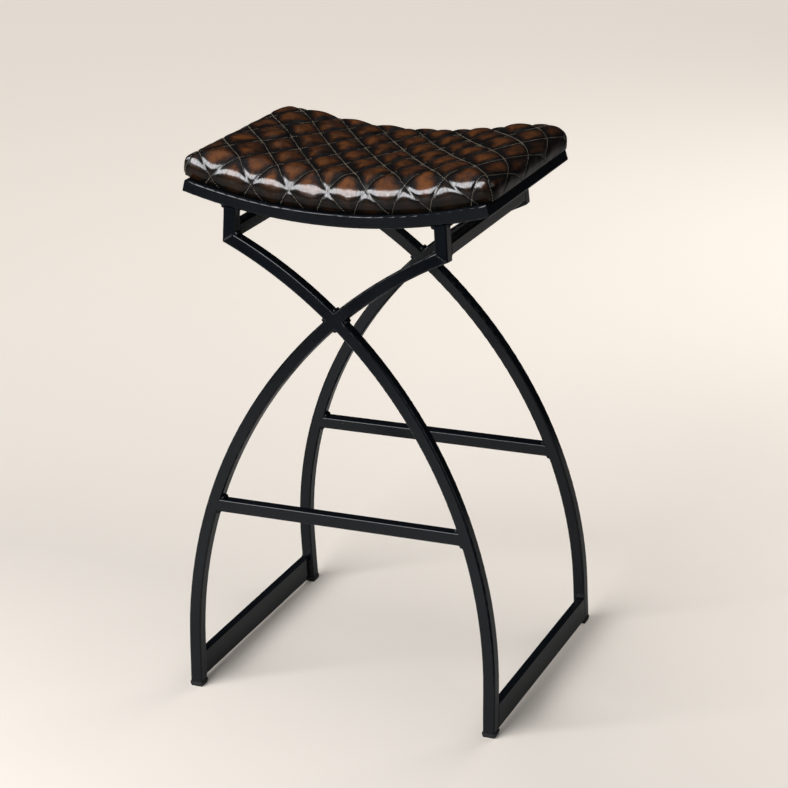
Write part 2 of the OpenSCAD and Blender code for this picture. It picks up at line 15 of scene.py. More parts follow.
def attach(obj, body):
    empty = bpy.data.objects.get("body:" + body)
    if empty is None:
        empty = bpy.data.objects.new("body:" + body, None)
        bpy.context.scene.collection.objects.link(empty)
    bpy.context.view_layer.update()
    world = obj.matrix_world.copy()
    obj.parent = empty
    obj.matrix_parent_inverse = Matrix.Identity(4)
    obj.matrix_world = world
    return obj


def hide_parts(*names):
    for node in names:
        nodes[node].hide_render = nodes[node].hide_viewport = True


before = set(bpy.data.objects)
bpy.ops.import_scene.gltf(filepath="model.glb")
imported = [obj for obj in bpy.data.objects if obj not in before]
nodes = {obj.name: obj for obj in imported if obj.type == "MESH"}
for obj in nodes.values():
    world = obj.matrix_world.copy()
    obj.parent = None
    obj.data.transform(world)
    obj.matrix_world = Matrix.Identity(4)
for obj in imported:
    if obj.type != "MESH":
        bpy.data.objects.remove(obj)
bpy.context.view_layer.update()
scene = bpy.context.scene
scene.view_settings.view_transform = "Standard"

# Camera
# The photograph is taken from the stool's front right, a little above the seat,
# with a long lens that is tipped very slightly to one side.
CAMERA_AZIMUTH = math.radians(24.0)
CAMERA_ELEVATION = math.radians(20.28)
CAMERA_ROLL = -0.0338
CAMERA_DISTANCE = 3.3298
CAMERA_TARGET = Vector((0.0135, -0.0009, 0.4113))
CAMERA_LENS = 106.55

forward = Vector((
    -math.sin(CAMERA_AZIMUTH) * math.cos(CAMERA_ELEVATION),
    math.cos(CAMERA_AZIMUTH) * math.cos(CAMERA_ELEVATION),
    -math.sin(CAMERA_ELEVATION),
))
level_right = Vector((math.cos(CAMERA_AZIMUTH), math.sin(CAMERA_AZIMUTH), 0.0))
level_up = level_right.cross(forward)
right = math.cos(CAMERA_ROLL) * level_right + math.sin(CAMERA_ROLL) * level_up
up = right.cross(forward)
camera_data = bpy.data.cameras.new("camera")
camera_data.lens = CAMERA_LENS
camera = bpy.data.objects.new("camera", camera_data)
turn = Matrix((right, up, -forward)).transposed().to_4x4()
camera.matrix_world = Matrix.Translation(CAMERA_TARGET - forward * CAMERA_DISTANCE) @ turn
scene.collection.objects.link(camera)
scene.camera = camera

# Studio
# A plain pale floor under soft light: a wide softbox over the front that draws the bright
# band along the seat's edge, a fill on either side and a room that is dim towards its walls.
FLOOR_SIZE = 14.0
FLOOR_COLOUR = (0.80, 0.735, 0.655)
FLOOR_BOUNCE = (0.36, 0.345, 0.325)
FLOOR_LEVEL = 0.84
FLOOR_ROUGHNESS = 0.6
MOTTLE_SCALE = 3.0
MOTTLE_SHADE = 0.97
SEAT_CENTRE = Vector((0.0, 0.0, 0.74))
STOOL_CENTRE = Vector((0.0, 0.0, 0.5))
LAMP_PLACE = Vector((-0.99, -1.94, 1.76))
LAMP_SIZE = (2.4, 1.28)
LAMP_POWER = 106.0
LAMP_COLOUR = (0.96, 0.97, 1.0)
# The fills, each with its place, the side of its square, its power and its colour
FILLS = {
    "left_fill": ((-2.6, -1.2, 1.6), 1.8, 12.0, (1.0, 0.97, 0.93)),
    "right_fill": ((2.4, 0.4, 2.2), 1.6, 5.0, (0.95, 0.97, 1.0)),
    "back_fill": ((1.2, 2.6, 2.0), 2.0, 36.0, (1.0, 1.0, 1.0)),
}
# The room's dome is bright overhead and dim from this height down
DOME_ABOVE = (0.26, 0.27, 0.29)
DOME_LEVEL = (0.014, 0.014, 0.015)
DOME_RISE = 0.60


# Every finish and every repeated detail is a node tree. Wire lets shader maths be written
# as plain arithmetic, and Graph adds any other node with one call.
class Wire:
    """A node's output: arithmetic on it adds Math nodes to its tree."""

    def __init__(self, graph, socket):
        self.graph = graph
        self.socket = socket

    def __add__(self, other):
        return self.graph.maths("ADD", self, other)

    def __sub__(self, other):
        return self.graph.maths("SUBTRACT", self, other)

    def __rsub__(self, other):
        return self.graph.maths("SUBTRACT", other, self)

    def __mul__(self, other):
        return self.graph.maths("MULTIPLY", self, other)

    def __truediv__(self, other):
        return self.graph.maths("DIVIDE", self, other)

    def __rtruediv__(self, other):
        return self.graph.maths("DIVIDE", other, self)

    def __pow__(self, other):
        return self.graph.maths("POWER", self, other)

    def __abs__(self):
        return self.graph.maths("ABSOLUTE", self)

    def __gt__(self, other):
        return self.graph.maths("GREATER_THAN", self, other)

    __radd__ = __add__
    __rmul__ = __mul__


class Graph:
    """A node tree being built."""

    def __init__(self, tree):
        self.tree = tree
        tree.nodes.clear()

    def node(self, kind, settings=None, inputs=None, output=0):
        """Adds a node, sets it up, wires its inputs and returns one of its outputs."""
        made = self.tree.nodes.new(kind)
        for key, value in (settings or {}).items():
            setattr(made, key, value)
        for key, value in (inputs or {}).items():
            if isinstance(value, Wire):
                self.tree.links.new(value.socket, made.inputs[key])
            else:
                made.inputs[key].default_value = value
        return Wire(self, made.outputs[output]) if made.outputs else None

    def maths(self, operation, *values):
        return self.node("ShaderNodeMath", {"operation": operation}, dict(enumerate(values)))

    def parts(self, vector):
        """The x, y and z of a vector."""
        split = self.node("ShaderNodeSeparateXYZ", None, {"Vector": vector})
        return [Wire(self, socket) for socket in split.socket.node.outputs]

    def vector(self, x, y, z):
        return self.node("ShaderNodeCombineXYZ", None, {"X": x, "Y": y, "Z": z})

    def given(self):
        """The tree's own inputs, by name."""
        group = self.node("NodeGroupInput").socket.node
        return {socket.name: Wire(self, socket) for socket in group.outputs if socket.name}

    def join(self, pieces):
        """Several pieces of geometry as one."""
        joined = self.node("GeometryNodeJoinGeometry").socket.node
        for piece in pieces:
            self.tree.links.new(piece.socket, joined.inputs[0])
        return Wire(self, joined.outputs[0])

    def stations(self, given, axis):
        """Points at the given pitch along the given lines, and the turn that aims axis along them."""
        path = self.node("GeometryNodeMeshToCurve", None, {"Mesh": given["Geometry"]})
        inputs = {"Curve": path, "Length": given["Pitch"]}
        path = self.node("GeometryNodeResampleCurve", {"mode": "LENGTH"}, inputs)
        along = self.node("GeometryNodeInputTangent")
        return path, self.node("FunctionNodeAlignRotationToVector", {"axis": axis}, {"Vector": along})

    def random(self, given, low, high):
        """A random number for each point, from the tree's own seed."""
        inputs = {2: low, 3: high, "Seed": given["Seed"]}
        return self.node("FunctionNodeRandomValue", {"data_type": "FLOAT"}, inputs, 1)

    def colours(self, share, low, high):
        """Blends two colours, each a wire or three numbers."""
        low, high = ((*c, 1.0) if isinstance(c, tuple) else c for c in (low, high))
        return self.node("ShaderNodeMix", {"data_type": "RGBA"}, {0: share, 6: low, 7: high}, 2)

    def step(self, value, low, high):
        """0 up to low, 1 from high, and a smooth rise between them."""
        settings = {"interpolation_type": "SMOOTHSTEP"}
        return self.node("ShaderNodeMapRange", settings, {"Value": value, 1: low, 2: high})

    def noise(self, place, scale, detail=2.0, roughness=0.5):
        inputs = {"Vector": place, "Scale": scale, "Detail": detail, "Roughness": roughness}
        return self.node("ShaderNodeTexNoise", None, inputs)


def finish(name, make):
    """A material whose nodes make(graph) builds; make returns the inputs of its surface."""
    material = bpy.data.materials.new(name)
    material.use_nodes = True
    graph = Graph(material.node_tree)
    surface = graph.node("ShaderNodeBsdfPrincipled", None, make(graph))
    graph.node("ShaderNodeOutputMaterial", None, {"Surface": surface})
    return material


def object_place(graph):
    return graph.node("ShaderNodeTexCoord", output="Object")


def floor_finish(graph):
    place = object_place(graph)
    x, y, _ = graph.parts(place)
    # The part of an even level that the main lamp leaves, so that the floor stays pale far off
    x, y = x - LAMP_PLACE.x, y - LAMP_PLACE.y
    aim = (SEAT_CENTRE - LAMP_PLACE).normalized()
    ahead = x * aim.x + y * aim.y - LAMP_PLACE.z * aim.z
    apart = x * x + y * y + LAMP_PLACE.z ** 2
    strength = LAMP_POWER / math.pi ** 2 * LAMP_PLACE.z
    lit = graph.maths("MAXIMUM", ahead, 0.0) * strength / (apart * apart)
    unlit = graph.maths("MAXIMUM", FLOOR_LEVEL - lit, 0.0)
    seen = graph.node("ShaderNodeLightPath", output="Is Camera Ray")
    mottle = graph.noise(place, MOTTLE_SCALE)
    pale = graph.colours(mottle, tuple(MOTTLE_SHADE * c for c in FLOOR_COLOUR), FLOOR_COLOUR)
    return {
        "Base Color": graph.colours(seen, FLOOR_BOUNCE, pale),
        "Roughness": FLOOR_ROUGHNESS,
        "Emission Color": graph.colours(seen * unlit, (0.0, 0.0, 0.0), FLOOR_COLOUR),
        "Emission Strength": 1.0,
    }


def softbox(name, place, target, size, power, colour):
    lamp = bpy.data.lights.new(name, "AREA")
    lamp.shape = "RECTANGLE"
    lamp.size, lamp.size_y = size
    lamp.energy = power
    lamp.color = colour
    box = bpy.data.objects.new(name, lamp)
    box.location = place
    box.rotation_euler = (target - Vector(place)).to_track_quat("-Z", "Y").to_euler()
    scene.collection.objects.link(box)
    return box


bpy.ops.mesh.primitive_plane_add(size=FLOOR_SIZE, location=(0.0, 0.0, 0.0))
floor = bpy.context.object
floor.name = "floor"
floor.data.materials.append(finish("pale_floor", floor_finish))

softbox("front_softbox", LAMP_PLACE, SEAT_CENTRE, LAMP_SIZE, LAMP_POWER, LAMP_COLOUR)
for name, (place, side, power, colour) in FILLS.items():
    box = softbox(name, place, STOOL_CENTRE, (side, side), power, colour)
    # The back fill lifts the dark side of the stool, and leaves the leather without a reflection
    box.visible_glossy = name != "back_fill"

world = bpy.data.worlds.new("studio")
world.use_nodes = True
scene.world = world
sky = Graph(world.node_tree)
_, _, height = sky.parts(sky.node("ShaderNodeTexCoord", output="Generated"))
shade = sky.colours(sky.step(height, DOME_RISE, 1.0), DOME_LEVEL, DOME_ABOVE)
seen = sky.node("ShaderNodeLightPath", output="Is Camera Ray")
shade = sky.colours(seen, shade, tuple(FLOOR_LEVEL * c for c in FLOOR_COLOUR))
dome = sky.node("ShaderNodeBackground", None, {"Color": shade})
sky.node("ShaderNodeOutputWorld", None, {"Surface": dome})

# Steel tubes
# The legs, footrests, posts and rails are square steel tube with rounded corners, bent,
# mitred and welded, then sprayed with satin black powder and baked.
COAT_COLOUR = (0.0016, 0.0025, 0.0038)
COAT_WORN = (0.0034, 0.0046, 0.0064)
SPECK_COLOUR = (0.20, 0.21, 0.22)
CLOUD_SCALE = 9.0
PEEL_SCALE = 620.0
PEEL_DEPTH = 0.00006
SPECK_SCALE = 70.0
SPECK_SIZE = (0.02, 0.045)
SPECK_BARE_SHARE = 0.93
COAT_ROUGHNESS = 0.11
COAT_SHEEN = 0.34

WELDS = [name for name in nodes if name.endswith("welds")]
TUBE_KINDS = ("leg", "rail", "post", "footrest")
TUBES = [name for name in nodes if name not in WELDS and any(kind in name for kind in TUBE_KINDS)]


def bumped(graph, height, depth):
    """A Normal input that raises the surface by depth, in metres, where height is 1."""
    return graph.node("ShaderNodeBump", None, {"Height": height, "Strength": 1.0, "Distance": depth})


def coat_finish(graph):
    place = object_place(graph)
    peel = graph.noise(place, PEEL_SCALE, 3.0)
    cloud = graph.noise(place, CLOUD_SCALE, 4.0, 0.6)
    # A speck of dust in a few of the cells of a fine grid
    spots = {"Vector": place, "Scale": SPECK_SCALE}
    away = graph.node("ShaderNodeTexVoronoi", {"feature": "F1"}, spots)
    middles = graph.node("ShaderNodeTexVoronoi", {"feature": "F1"}, spots, "Position")
    chance = graph.node("ShaderNodeTexWhiteNoise", None, {"Vector": middles})
    speck = (1.0 - graph.step(away, *SPECK_SIZE)) * (chance > SPECK_BARE_SHARE)
    colour = graph.colours(graph.step(cloud, 0.35, 0.7), COAT_COLOUR, COAT_WORN)
    return {
        "Base Color": graph.colours(speck, colour, SPECK_COLOUR),
        "Roughness": COAT_ROUGHNESS + 0.06 * peel + 0.06 * cloud,
        "Specular IOR Level": COAT_SHEEN,
        "Normal": bumped(graph, peel + 2.0 * speck, PEEL_DEPTH),
    }


def dress(names, material):
    for name in names:
        nodes[name].data.materials.clear()
        nodes[name].data.materials.append(material)


dress(TUBES, finish("black_powder_coat", coat_finish))

# Weld beads
# Each joint is closed by a short bead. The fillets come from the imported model; the ripples
# that the moving torch leaves are flattened drops of metal, laid along each fillet.
RIPPLE_PITCH = 0.0011
RIPPLE_RADIUS = 0.0023
RIPPLE_LENGTH_SHARE = 0.42
RIPPLE_JITTER = 0.10
GRIT_SCALE = 900.0
GRIT_DEPTH = 0.00012
SAME_POINT = 1e-6


def weld_finish(graph):
    grit = graph.noise(object_place(graph), GRIT_SCALE, 3.0, 0.6)
    return {
        "Base Color": graph.colours(grit, COAT_COLOUR, COAT_WORN),
        "Roughness": 0.20 + 0.12 * grit,
        "Specular IOR Level": COAT_SHEEN,
        "Normal": bumped(graph, grit, GRIT_DEPTH),
    }


def islands(obj):
    """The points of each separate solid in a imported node."""
    copy = bmesh.new()
    copy.from_mesh(obj.data)
    bmesh.ops.remove_doubles(copy, verts=copy.verts, dist=SAME_POINT)
    left = set(copy.verts)
    while left:
        found, edge = [], [min(left, key=lambda v: v.index)]
        left.discard(edge[0])
        while edge:
            vertex = edge.pop()
            found.append(tuple(vertex.co))
            for link in vertex.link_edges:
                other = link.other_vert(vertex)
                if other in left:
                    left.discard(other)
                    edge.append(other)
        yield np.array(found)
    copy.free()


def bead_line(points):
    """The two ends of a bead's middle line: its longest axis, less one ripple at each end."""
    spread = points - points.mean(0)
    axis = np.linalg.svd(spread, full_matrices=False)[2][0]
    along = spread @ axis
    reach = np.abs(along).max() - RIPPLE_PITCH
    middle = points.mean(0) + axis * (along.max() + along.min()) / 2
    return middle - axis * reach, middle + axis * reach


def geometry_tree(name, **inputs):
    """An empty geometry tree with named inputs: a socket type and a value for each."""
    tree = bpy.data.node_groups.new(name, "GeometryNodeTree")
    tree.interface.new_socket("Geometry", in_out="INPUT", socket_type="NodeSocketGeometry")
    for key, (kind, value) in inputs.items():
        socket = tree.interface.new_socket(key, in_out="INPUT", socket_type="NodeSocket" + kind)
        socket.default_value = value
    tree.interface.new_socket("Geometry", in_out="OUTPUT", socket_type="NodeSocketGeometry")
    return tree


def grown(tree, mesh, name):
    """Runs a geometry tree over a mesh and keeps the result as a plain object."""
    seed = bpy.data.objects.new(name + "_seed", mesh)
    scene.collection.objects.link(seed)
    modifier = seed.modifiers.new("grow", "NODES")
    modifier.node_group = tree
    seen = seed.evaluated_get(bpy.context.evaluated_depsgraph_get())
    made = bpy.data.objects.new(name, bpy.data.meshes.new_from_object(seen))
    scene.collection.objects.link(made)
    bpy.data.objects.remove(seed)
    return made


def lines_mesh(name, lines):
    """A mesh of open polylines, each a list of points."""
    points, edges = [], []
    for line in lines:
        edges += [(len(points) + i, len(points) + i + 1) for i in range(len(line) - 1)]
        points += [tuple(p) for p in line]
    mesh = bpy.data.meshes.new(name)
    mesh.from_pydata(points, edges, [])
    return mesh


def drops_tree(name, pitch, radius, length_share, material, segments, rings, jitter):
    """Round drops, flattened along the line that they follow."""
    tree = geometry_tree(
        name,
        Pitch=("Float", pitch), Radius=("Float", radius), Length_share=("Float", length_share),
        Finish=("Material", material), Seed=("Int", 7),
    )
    graph = Graph(tree)
    given = graph.given()
    rows, aim = graph.stations(given, "Z")
    size = graph.random(given, 1.0 - jitter, 1.0 + jitter)
    drop = graph.node(
        "GeometryNodeMeshUVSphere", None,
        {"Segments": segments, "Rings": rings, "Radius": given["Radius"]},
    )
    stretch = graph.vector(1.0, 1.0, given["Length_share"])
    drop = graph.node("GeometryNodeTransform", None, {"Geometry": drop, "Scale": stretch})
    rows = graph.node(
        "GeometryNodeInstanceOnPoints", None,
        {"Points": rows, "Instance": drop, "Rotation": aim, "Scale": size},
    )
    rows = graph.node("GeometryNodeRealizeInstances", None, {"Geometry": rows})
    rows = graph.node("GeometryNodeSetShadeSmooth", None, {0: rows})
    rows = graph.node("GeometryNodeSetMaterial", None, {"Geometry": rows, "Material": given["Finish"]})
    graph.node("NodeGroupOutput", None, {"Geometry": rows})
    return tree


weld_coat = finish("weld_seam", weld_finish)
dress(WELDS, weld_coat)
bead_lines = [bead_line(points) for name in WELDS for points in islands(nodes[name])]
ripple_tree = drops_tree(
    "weld_ripple", RIPPLE_PITCH, RIPPLE_RADIUS, RIPPLE_LENGTH_SHARE, weld_coat,
    segments=10, rings=6, jitter=RIPPLE_JITTER,
)
ripples = grown(ripple_tree, lines_mesh("bead_lines", bead_lines), "weld_ripples")
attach(ripples, "root")

# Foot caps
# Each foot stands in a moulded plastic cap: a tapered rim on the floor and a ribbed plug
# pushed up into the tube. The plastic has a fine spark-eroded grain, scuffed near the floor.
CAP_COLOUR = (0.012, 0.012, 0.013)
CAP_SCUFFED = (0.045, 0.043, 0.041)
CAP_GRAIN_SCALE = 1400.0
CAP_GRAIN_DEPTH = 0.00008
SCUFF_SCALE = 160.0
SCUFF_HEIGHTS = (0.0005, 0.004)


def cap_finish(graph):
    place = object_place(graph)
    grain = graph.noise(place, CAP_GRAIN_SCALE, 2.0, 0.6)
    scuff = graph.step(graph.noise(place, SCUFF_SCALE, 5.0, 0.7), 0.52, 0.68)
    scuff = scuff * (1 - graph.step(graph.parts(place)[2], *SCUFF_HEIGHTS))
    return {
        "Base Color": graph.colours(scuff, CAP_COLOUR, CAP_SCUFFED),
        "Roughness": 0.48 + 0.12 * grain + 0.2 * scuff,
        "Normal": bumped(graph, grain, CAP_GRAIN_DEPTH),
    }


dress([name for name in nodes if name.startswith("foot_cap")], finish("cap_plastic", cap_finish))

# Board
# The seat's base is moulded birch plywood: thin plies of crossing grain pressed to the
# curve. It is bored for the four screws and hidden by the leather.
DIP_RADIUS, RAIL_TOP = 0.790, 0.718
CURVE_AXIS_HEIGHT = RAIL_TOP + DIP_RADIUS
PLY_THICKNESS = 0.0017
PLY_LINE = (0.0007, 0.0010)
BIRCH = (0.62, 0.44, 0.26)
BIRCH_END = (0.36, 0.22, 0.11)
BIRCH_SHADE = tuple(0.78 * c for c in BIRCH)
BIRCH_GRAIN = (12, 140)
BIRCH_DEPTH = 0.0001


def plywood_finish(graph):
    x, y, z = graph.parts(object_place(graph))
    below = z - CURVE_AXIS_HEIGHT
    radius = (x * x + below * below) ** 0.5
    ply = graph.step(graph.maths("PINGPONG", radius, PLY_THICKNESS), *PLY_LINE)
    along, across = BIRCH_GRAIN
    grain = graph.noise(graph.vector(x * along, y * across, z * across), 1.0, 5.0, 0.6)
    tone = graph.colours(ply, BIRCH, BIRCH_END)
    return {
        "Base Color": graph.colours(graph.step(grain, 0.3, 0.75), tone, BIRCH_SHADE),
        "Roughness": 0.55 + 0.15 * grain,
        "Normal": bumped(graph, grain, BIRCH_DEPTH),
    }


dress(["seat_board"], finish("bent_plywood", plywood_finish))

# Cushion
# A block of soft foam on a moulded plywood board, under one skin of glossy antiqued leather.
# The skin and a thin wadding are quilted in diamonds, then drawn down over the board, sewn
# into a tuck at each corner and stapled underneath.
HALF_WIDTH, HALF_DEPTH = 0.2375, 0.150
END_REACH, FRONT_REACH, BACK_REACH = 0.080, 0.044, 0.024
TOP_HEIGHT, RIM_HEIGHT, LOW_HEIGHT = 0.0525, 0.018, 0.0006
RISE = TOP_HEIGHT - RIM_HEIGHT
END_CROWN, EDGE_CROWN = 0.002, 0.0005
CORNER_PULL = 0.0053
SIDE_DRAW = 0.006
FULLNESS = 6.0
LEATHER_THICKNESS, BOARD_THICKNESS = 0.0015, 0.012
BOARD_TOP = LOW_HEIGHT + LEATHER_THICKNESS + BOARD_THICKNESS
FOLD_WIDTH = 0.014


def run_of(reach):
    """The length of skin that goes round an edge down to the widest line."""
    return math.pi / 2 * np.sqrt((reach ** 2 + RISE ** 2) / 2)


# The skin laid flat: its level part, the run round each edge to the widest line, and the side.
# The front rounding is longer than the back one, so the seat's middle is not the skin's.
FLAT_A, RUN_A = HALF_WIDTH - END_REACH, run_of(END_REACH)
RIM_FRONT = HALF_DEPTH - FRONT_REACH + run_of(FRONT_REACH)
RIM_BACK = HALF_DEPTH - BACK_REACH + run_of(BACK_REACH)
RIM_A, RIM_B = FLAT_A + RUN_A, (RIM_FRONT + RIM_BACK) / 2
SEAT_MIDDLE = (RIM_BACK - RIM_FRONT) / 2
SIDE = RIM_HEIGHT - LOW_HEIGHT

# Diamonds: corner to corner sizes, the small turn of the rows, and a crossing of two seams
QUILT_WIDTH, QUILT_DEPTH = 0.0580, 0.0860
QUILT_TURN = 0.097
QUILT_START = (-0.1825, -0.1737)
SEAM_SINK = 0.0065
SIDE_SINK_SHARE = 0.28
SIDE_SINK_LOSS = 0.85
FIRST_PUFF = 0.86
PUFF_POWER, TAUT_PUFF_POWER = 0.5, 0.17
SEAM_CREASE = 0.9
CELLS = 14
CORNER_STEPS = 6
TINY = 1e-6


def on_curve(along, back, up):
    """Bends points of the level seat onto the curve of its rails."""
    angle = along / DIP_RADIUS
    radius = DIP_RADIUS - up
    return np.stack([
        radius * np.sin(angle), back + 0.0 * angle, CURVE_AXIS_HEIGHT - radius * np.cos(angle),
    ], -1)


def to_skin(p, q):
    """The place on the flat skin of a point counted in seams, p and q."""
    along, across = QUILT_WIDTH * (p + q) / 2, QUILT_DEPTH * (p - q) / 2
    c, s = math.cos(QUILT_TURN), math.sin(QUILT_TURN)
    return QUILT_START[0] + c * along - s * across, QUILT_START[1] + s * along + c * across


def to_seams(a, b):
    """How many seams of each run lie before a point of the flat skin: whole numbers on a seam."""
    c, s = math.cos(QUILT_TURN), math.sin(QUILT_TURN)
    a, b = a - QUILT_START[0], b - QUILT_START[1]
    along, across = (c * a + s * b) / QUILT_WIDTH, (c * b - s * a) / QUILT_DEPTH
    return along + across, along - across


def round_shares(a, b):
    """How far round the end, and round the front or the back, a point of the skin lies."""
    reach = np.where(b < 0, FRONT_REACH, BACK_REACH)
    far_a = np.clip((abs(a) - FLAT_A) / RUN_A, 0, 1)
    return far_a, np.clip((abs(b) - HALF_DEPTH + reach) / run_of(reach), 0, 1), reach


def skin_point(a, b, sink):
    """Places points of the flat skin on the cushion, sunk by sink, and gives their normals."""
    side_a, side_b = np.maximum(0, abs(a) - RIM_A), np.maximum(0, abs(b) - RIM_B)
    drop = np.maximum(side_a, side_b)
    a, b = np.clip(a, -RIM_A, RIM_A), np.clip(b, -RIM_B, RIM_B) + SEAT_MIDDLE
    sa, sb = np.sign(a), np.sign(b)
    far_a, far_b, reach = round_shares(a, b)
    x, y = np.sin(np.pi / 2 * far_a), np.sin(np.pi / 2 * far_b)
    along = sa * (np.minimum(abs(a), FLAT_A) + END_REACH * x - CORNER_PULL * x * y ** 4)
    back = sb * (np.minimum(abs(b), HALF_DEPTH - reach) + reach * y - CORNER_PULL * y * x ** 4)
    level_x, level_y = np.sqrt(np.maximum(0, 1 - x * x)), np.sqrt(np.maximum(0, 1 - y * y))
    corner = (x * y) ** 6
    normal = np.stack([sa * (x * level_y + corner), sb * (y * level_x + corner), level_x * level_y], -1)
    normal /= np.linalg.norm(normal, axis=-1, keepdims=True)
    crown = END_CROWN * (along / HALF_WIDTH) ** 2 + EDGE_CROWN * (back / HALF_DEPTH) ** 2
    full = sum(np.maximum(level, 1e-3) ** -FULLNESS for level in (level_x, level_y)) - 1
    full = full ** (-1 / FULLNESS)
    up = RIM_HEIGHT + (RISE - crown) * full - drop
    share = drop / SIDE
    outward = normal[..., :2]
    outward = outward / np.maximum(1e-9, np.linalg.norm(outward, axis=-1, keepdims=True))
    normal[drop > 0, :2], normal[drop > 0, 2] = outward[drop > 0], 0
    sink = sink * (1 - SIDE_SINK_LOSS * share ** 2)
    sunk = np.stack([along, back, up], -1) - sink[..., None] * normal
    sunk[..., :2] -= (SIDE_DRAW * share ** 2)[..., None] * outward
    return on_curve(*np.moveaxis(sunk, -1, 0)), normal


def tautness(a, b):
    """0 on the seat's top and 1 where the skin is drawn tight round the cushion's edge."""
    far_a, far_b, _ = round_shares(a, b + SEAT_MIDDLE)
    far = np.clip(np.maximum(far_a * 1.2 - 0.2, far_b * 2.2), 0, 1)
    return far * far * (3 - 2 * far)


def seam_sink(a, b):
    """The depth of the seams' channels, which is less where the skin is tight."""
    return SEAM_SINK * (1 - (1 - SIDE_SINK_SHARE) * tautness(a, b))


def puff(p, q, taut):
    """0 on a seam and 1 in the middle of a diamond, flatter in the middle where it is taut."""
    raised = abs(np.sin(np.pi * p)) * abs(np.sin(np.pi * q))
    return raised ** (PUFF_POWER - TAUT_PUFF_POWER * taut)


def inside_skin(a, b, spare=0.0):
    """Whether a point lies on the flat skin, whose four corners are cut out."""
    a, b = abs(a), abs(b)
    in_corner = (a > RIM_A + spare) & (b > RIM_B + spare)
    return (a <= RIM_A + SIDE + spare) & (b <= RIM_B + SIDE + spare) & ~in_corner


def corner_seams():
    """The four corners of the flat skin, counted in seams."""
    signs = [(sa, sb) for sa in (-1, 1) for sb in (-1, 1)]
    return [to_seams(sa * (RIM_A + SIDE), sb * (RIM_B + SIDE)) for sa, sb in signs]


def flat_skin():
    """The skin laid flat, as a mesh whose edges follow the seams, with its corners cut out."""
    ends = corner_seams()
    p0, q0 = (math.floor(min(e[i] for e in ends)) for i in (0, 1))
    p1, q1 = (math.ceil(max(e[i] for e in ends)) for i in (0, 1))
    p, q = np.meshgrid(
        np.arange((p1 - p0) * CELLS + 1) / CELLS + p0,
        np.arange((q1 - q0) * CELLS + 1) / CELLS + q0,
        indexing="ij",
    )
    a, b = to_skin(p, q)
    near = (abs(a) < RIM_A + SIDE + 0.01) & (abs(b) < RIM_B + SIDE + 0.01)
    rows = bmesh.new()
    made = {}
    for i, j in zip(*np.nonzero(near)):
        made[i, j] = rows.verts.new((a[i, j], b[i, j], 0.0))
    for i, j in made:
        corners = [made.get(k) for k in ((i, j), (i, j + 1), (i + 1, j + 1), (i + 1, j))]
        if all(corners):
            rows.faces.new(corners)

    def cut(faces, axis, at, outer=False):
        """Cuts the faces along a line across an axis; with outer, drops what lies beyond it."""
        sign = math.copysign(1.0, at)
        # Each edge and point once, in an order that is the same each run, unlike a set's
        edges = dict.fromkeys(e for f in faces for e in f.edges)
        verts = dict.fromkeys(v for f in faces for v in f.verts)
        place, way = [0.0, 0.0, 0.0], [0.0, 0.0, 0.0]
        place[axis], way[axis] = at, sign
        bmesh.ops.bisect_plane(
            rows, geom=[*verts, *edges, *faces], dist=1e-7,
            plane_co=place, plane_no=way, clear_outer=outer,
        )

    for sign in (-1, 1):
        cut(rows.faces[:], 0, sign * (RIM_A + SIDE), True)
        cut(rows.faces[:], 1, sign * (RIM_B + SIDE), True)
        cut(rows.faces[:], 0, sign * RIM_A)
        cut(rows.faces[:], 1, sign * RIM_B)
    waste = [f for f in rows.faces if not inside_skin(*np.array(f.calc_center_median()[:2]))]
    bmesh.ops.delete(rows, geom=waste, context="FACES")

    # The two edges of each cut-out corner get points at the same depths, to be sewn together
    depths = [SIDE * k / CORNER_STEPS for k in range(1, CORNER_STEPS)]
    rims = (RIM_A, RIM_B)
    for axis in (0, 1):
        rim, other = rims[axis], rims[1 - axis]
        for sign in (-1, 1):
            for depth in depths:
                flap = [
                    f for f in rows.faces
                    if rim < sign * f.calc_center_median()[axis]
                    and any(abs(abs(v.co[1 - axis]) - other) < TINY for v in f.verts)
                ]
                cut(flap, axis, sign * (rim + depth))
        for v in rows.verts:
            over = abs(v.co[axis]) - rim
            if over > TINY and abs(abs(v.co[1 - axis]) - other) < TINY:
                depth = round(over / SIDE * CORNER_STEPS) / CORNER_STEPS * SIDE
                v.co[axis] = math.copysign(rim + max(depth, SIDE / CORNER_STEPS), v.co[axis])
    rows.verts.index_update()
    return rows


# The foam swells each diamond between its seams, which stay where they are sewn
SWELL_PRESSURE = 4.0
SWELL_FRAMES = 20
SWELL_CAP = 0.0046
TAUT_SWELL_LOSS = 0.72
SMOOTHINGS = 6
MERGE_DISTANCE = 2e-5


